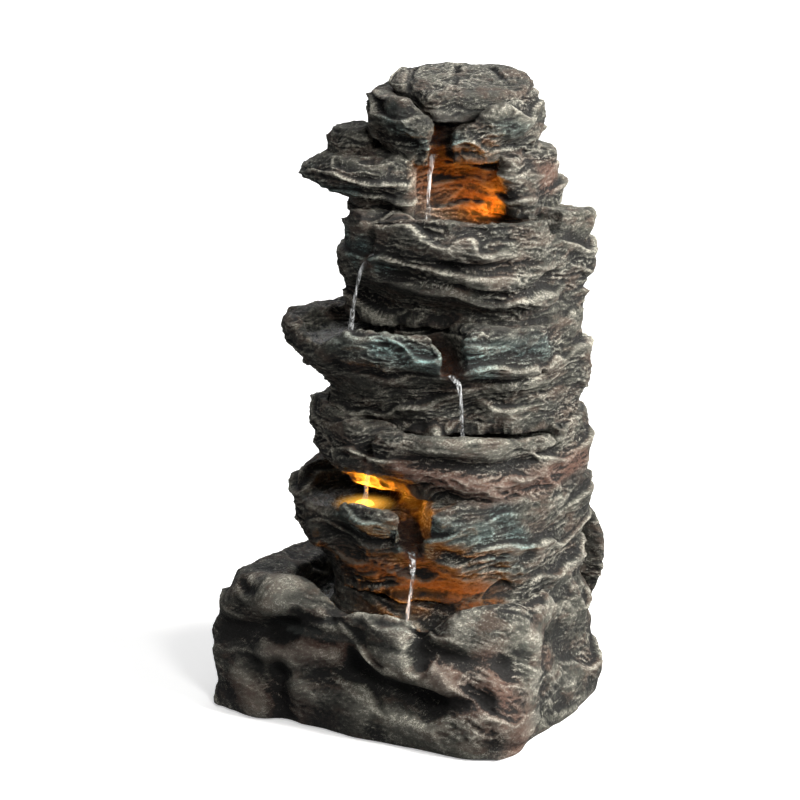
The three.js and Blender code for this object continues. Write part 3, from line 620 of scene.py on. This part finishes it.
def moulded_material(name, dark, light, roughness, grain=900, metallic=0.0):
    """A moulded finish: a slightly uneven colour, fine grain, and a bloom of lime from the water."""
    made, tree, shader = new_material(name)
    cloud = noise_node(tree, 60, (1, 1, 1), 4)
    fine = noise_node(tree, grain, (1, 1, 1), 4, 0.7)
    bloom = remap(tree, noise_node(tree, 140, (1, 1, 0.6), 5, 0.7), 0.6, 0.78, 0, 0.22)
    colour = mix(tree, math_node(tree, "MULTIPLY", cloud, fine), dark, light)
    colour = mix(tree, bloom, colour, (0.42, 0.42, 0.4))
    connect(tree, shader.inputs["Base Color"], colour)
    connect(tree, shader.inputs["Roughness"], remap(tree, fine, 0.3, 0.7, roughness - 0.08, roughness + 0.1))
    shader.inputs["Metallic"].default_value = metallic
    bump(tree, shader, fine, 0.25, 0.0003)
    return made


def clear_tube_material():
    made = moulded_material("clear_tube", (0.45, 0.5, 0.5), (0.75, 0.78, 0.76), 0.22)
    made.node_tree.nodes["Principled BSDF"].inputs["Alpha"].default_value = 0.45
    return made


def lens_material():
    """An amber lens, lit from inside."""
    made, tree, shader = new_material("amber_lens")
    swirl = noise_node(tree, 300, (1, 1, 1), 3)
    connect(tree, shader.inputs["Base Color"], mix(tree, swirl, (0.9, 0.32, 0.03), (1.0, 0.55, 0.12)))
    connect(tree, shader.inputs["Roughness"], remap(tree, swirl, 0.3, 0.7, 0.08, 0.2))
    connect(tree, shader.inputs["Emission Color"], mix(tree, swirl, (1.0, 0.36, 0.03), (1.0, 0.5, 0.08)))
    shader.inputs["Emission Strength"].default_value = 3.0
    return made


def sponge_material():
    made = moulded_material("sponge", (0.012, 0.013, 0.015), (0.07, 0.075, 0.085), 0.9)
    tree, shader = made.node_tree, made.node_tree.nodes["Principled BSDF"]
    cells = add_node(tree, "ShaderNodeTexVoronoi")
    cells.inputs["Scale"].default_value = 900
    bump(tree, shader, cells.outputs["Distance"], 1.0, 0.0008)
    return made


# The plain finishes: darkest colour, lightest colour, roughness, grain in features per metre, metallic.
MOULDED = {
    "pump_plastic": ((0.008, 0.008, 0.009), (0.05, 0.052, 0.055), 0.42, 900, 0.0),
    "grey_plastic": ((0.13, 0.135, 0.14), (0.28, 0.29, 0.3), 0.45, 900, 0.0),
    "black_rubber": ((0.008, 0.008, 0.008), (0.04, 0.038, 0.036), 0.8, 1400, 0.0),
    "magnet": ((0.03, 0.03, 0.034), (0.13, 0.13, 0.14), 0.4, 1600, 0.7),
    "shaft_ceramic": ((0.7, 0.67, 0.6), (0.9, 0.88, 0.83), 0.22, 1800, 0.0),
    "led_board": ((0.55, 0.54, 0.48), (0.8, 0.79, 0.72), 0.4, 900, 0.0),
    "cable_jacket": ((0.006, 0.006, 0.006), (0.03, 0.03, 0.03), 0.5, 900, 0.0),
}


def paint_inner_nodes():
    """Every CAD node that isn't a casting keeps its shape and gets its finish."""
    finishes = {name: moulded_material(name, *look) for name, look in MOULDED.items()}
    finishes["sponge"] = sponge_material()
    finishes["clear_tube"] = clear_tube_material()
    finishes["amber_lens"] = lens_material()
    for part in frame["record"]["subparts"]:
        if part["material_slot"] in finishes:
            mesh = frame["nodes"][part["node"]].data
            mesh.materials.clear()
            mesh.materials.append(finishes[part["material_slot"]])


# ---------------------------------------------------------------- the castings
BASE_FOLDS = [
    ((-130, -6, 84), (-97, -44, 97), 30, 9),  # lobes of the left rim
    ((-97, -44, 99), (-62, -58, 95), 24, 8),
    ((-132, -30, 60), (-93, -51, 68), 19, -8),  # the crease under them
    ((-93, -51, 68), (-56, -62, 88), 17, -7),
    ((-104, -49, 50), (-51, -74, 57), 15, 8),  # the ridge below the crease
    ((-93, -56, 38), (-92, -60, 4), 16, -7),
    ((-120, -44, 30), (-112, -48, 12), 18, 6),
    ((-80, -62, 30), (-40, -88, 22), 24, 8),
    ((-42, -82, 54), (12, -108, 34), 18, -10),  # the long fold that crosses the front
    ((12, -108, 34), (50, -118, 44), 16, -6),
    ((-30, -92, 66), (22, -108, 54), 22, 9),
    ((-10, -100, 20), (34, -118, 16), 24, 5),
    ((6, -100, 94), (7, -106, 62), 12, -9),  # the notch under the last fall
    ((-40, -80, 86), (-8, -98, 86), 17, 7),
    ((30, -108, 92), (72, -98, 86), 22, 6),  # the rim's lobe at the right of it
    ((16, -108, 74), (66, -112, 62), 12, -5),
    ((93, -64, 92), (82, -90, 70), 22, 5),  # the edge between the front and the right side
    ((82, -90, 70), (80, -106, 29), 26, 5),
    ((80, -106, 29), (74, -110, 6), 28, 4),
    ((106, -49, 58), (124, -20, 46), 28, -3),
]
TIER_4_FOLDS = [
    ((-70, -30, 158), (-14, -82, 156), 13, 4),  # the rim slab
    ((-60, -42, 140), (-16, -72, 137), 11, -5),
    ((22, -86, 160), (110, -40, 162), 15, 4),
    ((20, -84, 136), (80, -70, 132), 12, -5),
    ((-50, -50, 112), (-10, -62, 108), 20, 6),
]
TIER_3_FOLDS = [
    ((-12, -78, 201), (60, -88, 197), 10, -7),  # between the grey slab and the brown one
    ((60, -88, 197), (122, -36, 200), 10, -6),
    ((-8, -76, 188), (60, -84, 182), 13, 4),
    ((6, -82, 211), (64, -84, 211), 12, 4),
]
TIER_2_FOLDS = [
    ((-80, -20, 282), (-30, -68, 280), 16, 4),
    ((-50, -50, 262), (10, -78, 254), 12, -5),
    ((30, -74, 240), (90, -58, 236), 14, 5),
    ((36, -74, 252), (100, -50, 252), 9, -5),
    ((40, -80, 284), (96, -60, 284), 12, 4),
    ((-40, -50, 232), (10, -60, 228), 20, 8),
]
TIER_1_FOLDS = [
    ((-22, -60, 330), (30, -80, 319), 12, -11),  # the deep groove under the upper slab
    ((30, -80, 319), (108, -46, 322), 11, -8),
    ((8, -76, 306), (60, -82, 304), 15, 8),  # the lower slab
    ((60, -82, 304), (110, -46, 306), 15, 6),
    ((-24, -58, 310), (4, -70, 300), 14, -6),
    ((-4, -70, 352), (60, -86, 348), 14, 5),
    ((10, -80, 338), (90, -66, 338), 7, -4),
]
NECK_FOLDS = [
    ((66, -34, 398), (82, -40, 374), 17, 9),  # the shoulder at the right of the alcove
    ((84, -22, 392), (108, 6, 386), 18, 6),
    ((-10, -34, 400), (-4, -40, 374), 14, 5),
]
HEAD_FOLDS = [
    ((58, -46, 432), (76, -36, 430), 20, 7),  # the right lump
    ((46, -38, 438), (38, -44, 424), 9, -8),  # and the cleft beside it
    ((-16, -40, 440), (2, -46, 430), 16, 5),
    ((-22, -30, 418), (0, -46, 416), 9, -6),
]
CAP_FOLDS = [
    ((-4, -32, 448), (58, -34, 447), 13, 7),  # the drooping front edge
    ((20, -38, 444), (34, -40, 438), 11, 7),
    ((0, -36, 438), (56, -36, 437), 8, -6),  # undercut
    ((2, 16, 460), (-4, -26, 456), 5, -3),  # cracks across the top
    ((32, 20, 460), (30, -30, 456), 5, -3),
    ((56, 12, 460), (66, -22, 456), 5, -3),
    ((10, -6, 461), (26, -2, 461), 9, 3),
]
sculpt("base_basin", 3, spacing=44, bold=0.75, dip=(0.3, 0.24), folds=BASE_FOLDS, voxel=1.75, grit=0.7)
sculpt("tier_4_basin", 14, spacing=24, dip=(-0.12, 0.0), folds=TIER_4_FOLDS, voxel=1.25)
sculpt("tier_3_basin", 25, spacing=20, dip=(0.03, 0.03), folds=TIER_3_FOLDS)
sculpt("tier_2_basin", 36, spacing=23, dip=(-0.1, 0.05), folds=TIER_2_FOLDS)
sculpt("tier_1_basin", 47, spacing=21, dip=(0.05, 0.1), folds=TIER_1_FOLDS)
sculpt("neck_rock", 58, spacing=14, folds=NECK_FOLDS)
sculpt("ledge_stone", 69, spacing=13, bold=0.5, voxel=0.9)
sculpt("head_stone", 71, spacing=19, folds=HEAD_FOLDS)
sculpt("cap_slab", 82, spacing=12, bold=0.4, folds=CAP_FOLDS, voxel=0.9, lumpy=0.5)
sculpt("rear_cover", 93, spacing=22, bold=0.3, lumpy=0.5)
paint_inner_nodes()

# ---------------------------------------------------------------- water
WATER_STEP = 2.5  # between the points of a pool's surface


def ellipse(along, across, half_length, half_width):
    return lambda a, b: ((a - along) / half_length) ** 2 + ((b - across) / half_width) ** 2 < 1


def add_pool(name, level, shapes, ripples, glow=0.0, without=()):
    """A sheet of water inside any of the shapes and outside the others, rippling out from a place."""
    reach = np.arange(-150, 150, WATER_STEP)
    sheet = bmesh.new()
    corners = {}

    def corner(i, j):
        if (i, j) not in corners:
            a, b = reach[0] + i * WATER_STEP, reach[0] + j * WATER_STEP
            away = math.hypot(a - ripples[0], b - ripples[1])
            wave = 0.5 * math.sin(away / 1.9) * math.exp(-away / 16)
            wave += 0.15 * math.sin(a / 3.1 + b / 4.3) + 0.12 * math.sin(a / 5.7 - b / 2.6)
            corners[i, j] = sheet.verts.new(tuple(at(a, b, level + wave) * MM))
        return corners[i, j]

    for i in range(len(reach) - 1):
        for j in range(len(reach) - 1):
            a, b = reach[i] + WATER_STEP / 2, reach[j] + WATER_STEP / 2
            if any(inside(a, b) for inside in shapes) and not any(inside(a, b) for inside in without):
                sheet.faces.new((corner(i, j), corner(i + 1, j), corner(i + 1, j + 1), corner(i, j + 1)))
    mesh = bpy.data.meshes.new(name)
    sheet.to_mesh(mesh)
    sheet.free()
    water = add_water(name, mesh, pool_material(name, glow))
    thick = water.modifiers.new("thick", "SOLIDIFY")
    thick.thickness = 1.5 * MM
    thick.offset = -1


def add_water(name, mesh, look):
    mesh.materials.append(look)
    mesh.polygons.foreach_set("use_smooth", np.ones(len(mesh.polygons), bool))
    water = bpy.data.objects.new(name, mesh)
    scene.collection.objects.link(water)
    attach(water, "fountain")
    return water


def smooth_path(knots, count):
    """Points along a curve that goes through every knot; each knot is any row of numbers."""
    knots = np.array([knots[0], *knots, knots[-1]], float)
    steps = np.linspace(0, len(knots) - 3.0001, count)
    rows = []
    for step in steps:
        i, t = int(step), step % 1
        a, b, c, d = knots[i : i + 4]
        rows.append(b + 0.5 * t * (c - a + t * (2 * a - 5 * b + 4 * c - d + t * (3 * (b - c) + d - a))))
    return np.array(rows)


STREAM_ROWS = 60
STREAM_SIDES = 14


def add_stream(name, knots, seed, glow=0.0):
    """Falling water whose width lies along the basins.

    A knot is (along, across, z, half width, half thickness).
    """
    rows = smooth_path(knots, STREAM_ROWS)
    sheet = bmesh.new()
    rings = []
    for row, (along, across, z, width, thickness) in enumerate(rows):
        ring = []
        for turn in range(STREAM_SIDES):
            angle = 2 * math.pi * turn / STREAM_SIDES
            flutter = 0.2 * math.sin(row * 0.35 + seed + 3 * angle)
            flutter += 0.15 * math.sin(row * 0.21 + seed * 2 + angle * 2)
            swell = 1 + flutter
            out_along = width * swell * math.cos(angle)
            out_across = thickness * swell * math.sin(angle)
            place = at(along + out_along, across + out_across, z)
            ring.append(sheet.verts.new(tuple(place * MM)))
        rings.append(ring)
    for upper, lower in zip(rings, rings[1:]):
        for turn in range(STREAM_SIDES):
            after = (turn + 1) % STREAM_SIDES
            sheet.faces.new((upper[turn], lower[turn], lower[after], upper[after]))
    sheet.faces.new(rings[0][::-1])
    sheet.faces.new(rings[-1])
    bmesh.ops.recalc_face_normals(sheet, faces=sheet.faces)
    mesh = bpy.data.meshes.new(name)
    sheet.to_mesh(mesh)
    sheet.free()
    add_water(name, mesh, stream_material(name, glow))


GLOW_PLACE = (-33, -40, 159)  # where the last-but-one fall lands, over its light
GLOW_RADIUS = 24


def pool_material(name, glow):
    """Clear dark water, rippled, glowing round its light where it has one."""
    made, tree, shader = new_material(name + "_water")
    waves = noise_node(tree, 160, (1, 1, 1), 4, 0.5, 0.4)
    connect(tree, shader.inputs["Base Color"], mix(tree, waves, (0.012, 0.014, 0.014), (0.03, 0.032, 0.03)))
    shader.inputs["Roughness"].default_value = 0.04
    shader.inputs["IOR"].default_value = 1.33
    shader.inputs["Alpha"].default_value = 0.22
    shader.inputs["Specular IOR Level"].default_value = 0.3
    if glow:
        connect(tree, shader.inputs["Emission Color"], mix(tree, waves, (1.0, 0.3, 0.01), (1.0, 0.62, 0.1)))
        lit = glow_round(tree, GLOW_PLACE, GLOW_RADIUS, glow)
        connect(tree, shader.inputs["Emission Strength"], lit)
    bump(tree, shader, waves, 0.5, 0.002)
    return made


def glow_round(tree, place, radius, strength):
    """strength at a place, falling to 0 at a radius from it."""
    where = add_node(tree, "ShaderNodeTexCoord").outputs["Object"]
    away = add_node(tree, "ShaderNodeVectorMath", operation="DISTANCE")
    tree.links.new(where, away.inputs[0])
    away.inputs[1].default_value = tuple(at(*place) * MM)
    return remap(tree, away.outputs["Value"], radius * MM, 2 * MM, 0.0, strength)


def stream_material(name, glow):
    """Broken, glassy falling water with bright streaks down it, and a faint painted glow; where a glow is
    given, the lamp's orange light is painted on as its colour and its glow.
    """
    made, tree, shader = new_material(name + "_water")
    streaks = noise_node(tree, 420, (1, 1, 0.12), 4, 0.6, 0.3)
    drops = noise_node(tree, 700, (1, 1, 0.5), 3)
    bright = remap(tree, streaks, 0.42, 0.62)
    warm = (1.0, 0.42, 0.04) if glow else (0.82, 0.84, 0.85)
    connect(tree, shader.inputs["Base Color"], mix(tree, bright, (0.12, 0.12, 0.12), warm))
    cover = math_node(tree, "MULTIPLY", bright, drops)
    connect(tree, shader.inputs["Alpha"], remap(tree, cover, 0.05, 0.6, 0.08, 0.6))
    connect(tree, shader.inputs["Emission Color"], mix(tree, bright, (0.35, 0.35, 0.35), warm))
    shader.inputs["Emission Strength"].default_value = glow or 0.12
    shader.inputs["Roughness"].default_value = 0.08
    bump(tree, shader, streaks, 0.7, 0.002)
    return made


# The five falls, from the top: knots of (along, across, z, half width, half thickness), then its glow.
FALLS = {
    "fall_1": (
        [
            (15, -29, 406, 2.6, 0.6),
            (13.5, -30.5, 398, 1.6, 0.9),
            (12, -33, 385, 1.2, 1.0),
            (11, -36, 357, 1.6, 1.3),
        ],
        0.0,
    ),
    "fall_2": (
        [
            (-26, -50, 341, 2.0, 0.6),
            (-33, -52, 333, 1.5, 0.9),
            (-36, -52, 324, 1.2, 1.0),
            (-40, -48, 302, 1.3, 1.1),
            (-43, -38, 277, 1.8, 1.5),
        ],
        0.0,
    ),
    "fall_3": (
        [
            (28, -76, 262, 2.8, 0.4),
            (32, -81, 256, 1.7, 0.8),
            (33.5, -80, 247, 1.2, 1.0),
            (34.5, -74, 230, 1.1, 1.0),
            (35.5, -62, 206, 1.5, 1.2),
        ],
        0.0,
    ),
    "fall_4": (
        [
            (-20, -57, 198, 2.4, 0.6),
            (-27, -60, 194, 1.8, 0.9),
            (-30, -58, 186, 1.5, 1.0),
            (-31.5, -50, 172, 1.4, 1.1),
            (-32.5, -43, 159, 2.4, 2.0),
        ],
        2.2,
    ),
    "fall_5": (
        [
            (0, -72, 134, 2.6, 0.3),
            (1, -79, 127, 2.0, 0.4),
            (1, -84, 119, 1.4, 0.8),
            (-1, -84, 105, 1.2, 0.9),
            (-5, -80, 74, 1.6, 1.2),
        ],
        0.0,
    ),
}


def add_fountain_water():
    add_pool("spring_pool", 433.5, [ellipse(33, -4, 43, 37)], (33, -4))
    add_pool("tier_1_pool", 358, [ellipse(51, -43, 54, 27), ellipse(4, -43, 12, 6)], (11, -38))
    pools = [ellipse(-44, -18, 38, 40), ellipse(-6, -46, 34, 20), ellipse(16, -48, 10, 10)]
    add_pool("tier_2_pool", 278.5, pools, (-43, -35))
    add_pool("tier_3_pool", 207, [ellipse(47, -44, 58, 26), ellipse(2, -45, 10, 6)], (35, -58))
    pools = [ellipse(-42, -16, 38, 38), ellipse(-14, -44, 24, 19), ellipse(-6, -48, 10, 10)]
    add_pool("tier_4_pool", 159.5, pools, (-32, -42), glow=3.2)
    pools = [ellipse(0, -60, 88, 36), ellipse(-60, -10, 46, 60), ellipse(70, -60, 40, 34)]
    add_pool("base_pool", 75, pools, (-6, -80), without=[ellipse(48, 0, 72, 62)])
    for seed, (name, (knots, glow)) in enumerate(FALLS.items(), start=1):
        add_stream(name, knots, seed, glow)


add_fountain_water()


# ---------------------------------------------------------------- lights under the water
AMBER = (1.0, 0.33, 0.02)
LIT_RADIUS = 5  # of the glowing spot that each beam starts from
BEAM_ANGLE = 140
BEAM_SOFTNESS = 0.6


def add_amber_light(name, place, towards, power):
    """A light under the water whose beam goes up from its lens towards a point on the wall."""
    light = bpy.data.lights.new(name, "SPOT")
    light.energy = power
    light.color = AMBER
    light.shadow_soft_size = LIT_RADIUS * MM
    light.spot_size = math.radians(BEAM_ANGLE)
    light.spot_blend = BEAM_SOFTNESS
    made = bpy.data.objects.new(name, light)
    made.location = at(*place) * MM
    beam = Vector(at(*towards) - at(*place))
    made.rotation_euler = beam.to_track_quat("-Z", "Y").to_euler()
    scene.collection.objects.link(made)


add_amber_light("amber_light_tier_1", (55, -32, 359), (42, -14, 388), 0.2)
add_amber_light("amber_light_tier_4", (-33, -26, 160), (-4, -44, 196), 0.6)
add_amber_light("amber_light_base", (30, -84, 42), (34, -66, 104), 0.9)

# ---------------------------------------------------------------- studio
FLOOR_RADIUS = 2.2  # metres, out to where the floor starts to curve up
WALL_CURVE = 0.9
WALL_HEIGHT = 4.0
CURVE_STEPS = 12
FLOOR_SIDES = 64
FLOOR_MIDDLE = 0.2  # radius of the flat disc at the fountain's foot
GLOW_NEAR = 0.42  # the floor's own light at the fountain, and out where it curves up
GLOW_FAR = 0.72


def floor_profile():
    """The floor's (radius, height) points, from its flat middle out and up the wall."""
    profile = [(FLOOR_MIDDLE, 0.0), (FLOOR_RADIUS, 0.0)]
    for step in range(1, CURVE_STEPS + 1):
        angle = step / CURVE_STEPS * math.pi / 2
        reach = FLOOR_RADIUS + WALL_CURVE * math.sin(angle)
        profile.append((reach, WALL_CURVE * (1 - math.cos(angle))))
    profile.append((FLOOR_RADIUS + WALL_CURVE, WALL_HEIGHT))
    return profile


def floor_material():
    """Pale paper that glows a little, more so far from the fountain."""
    made, tree, shader = new_material("studio_floor")
    paper = mix(tree, noise_node(tree, 3), (0.86, 0.86, 0.86), (0.9, 0.9, 0.9))
    connect(tree, shader.inputs["Base Color"], paper)
    shader.inputs["Roughness"].default_value = 0.9
    shader.inputs["Emission Color"].default_value = (1, 1, 1, 1)
    far = add_node(tree, "ShaderNodeVectorMath", operation="LENGTH")
    tree.links.new(add_node(tree, "ShaderNodeTexCoord").outputs["Object"], far.inputs[0])
    glow = remap(tree, far.outputs["Value"], 0.3, FLOOR_RADIUS, GLOW_NEAR, GLOW_FAR)
    connect(tree, shader.inputs["Emission Strength"], glow)
    return made


def add_floor():
    """One pale sheet, flat round the fountain and curving up into a wall on every side."""
    sheet = bmesh.new()
    turns = [2 * math.pi * side / FLOOR_SIDES for side in range(FLOOR_SIDES)]
    rings = []
    for radius, height in floor_profile():
        rings.append([sheet.verts.new((radius * math.cos(a), radius * math.sin(a), height)) for a in turns])
    sheet.faces.new(rings[0])
    for inner, outer in zip(rings, rings[1:]):
        for side in range(FLOOR_SIDES):
            after = (side + 1) % FLOOR_SIDES
            sheet.faces.new((inner[side], outer[side], outer[after], inner[after]))
    mesh = bpy.data.meshes.new("floor")
    sheet.to_mesh(mesh)
    sheet.free()
    floor = bpy.data.objects.new("floor", mesh)
    for face in mesh.polygons:
        face.use_smooth = True
    mesh.materials.append(floor_material())
    floor.visible_diffuse = False  # its glow is for the background, not for the stones' undersides
    floor.visible_glossy = False
    floor.visible_shadow = False
    scene.collection.objects.link(floor)


LIGHTS_AIM = Vector((0, 0, 0.22))  # the middle of the fountain
WORLD_LIGHT = 0.19


def add_area_light(name, azimuth, elevation, distance, size, power, colour=(1, 1, 1)):
    """A soft panel that looks at the middle of the fountain, from degrees round and up and metres away."""
    light = bpy.data.lights.new(name, "AREA")
    light.shape = "RECTANGLE"
    light.size, light.size_y = size
    light.energy = power
    light.color = colour
    made = bpy.data.objects.new(name, light)
    back = direction(azimuth, elevation)
    made.location = LIGHTS_AIM + back * distance
    made.rotation_euler = (-back).to_track_quat("-Z", "Y").to_euler()
    scene.collection.objects.link(made)


def add_world():
    scene.world = bpy.data.worlds.new("studio")
    scene.world.use_nodes = True
    background = scene.world.node_tree.nodes["Background"]
    background.inputs["Color"].default_value = (1, 1, 1, 1)
    background.inputs["Strength"].default_value = WORLD_LIGHT
    scene.view_settings.view_transform = "Standard"


add_floor()
add_world()
add_area_light("key_light", 92, 29, 2.0, (0.9, 1.0), 116, (1.0, 0.985, 0.95))
add_area_light("front_light", 50, 30, 2.4, (0.4, 0.4), 24, (1.0, 0.99, 0.97))
add_area_light("top_light", 60, 76, 2.4, (1.2, 1.2), 9)
add_area_light("back_light", 205, 34, 2.4, (2.0, 2.0), 24)
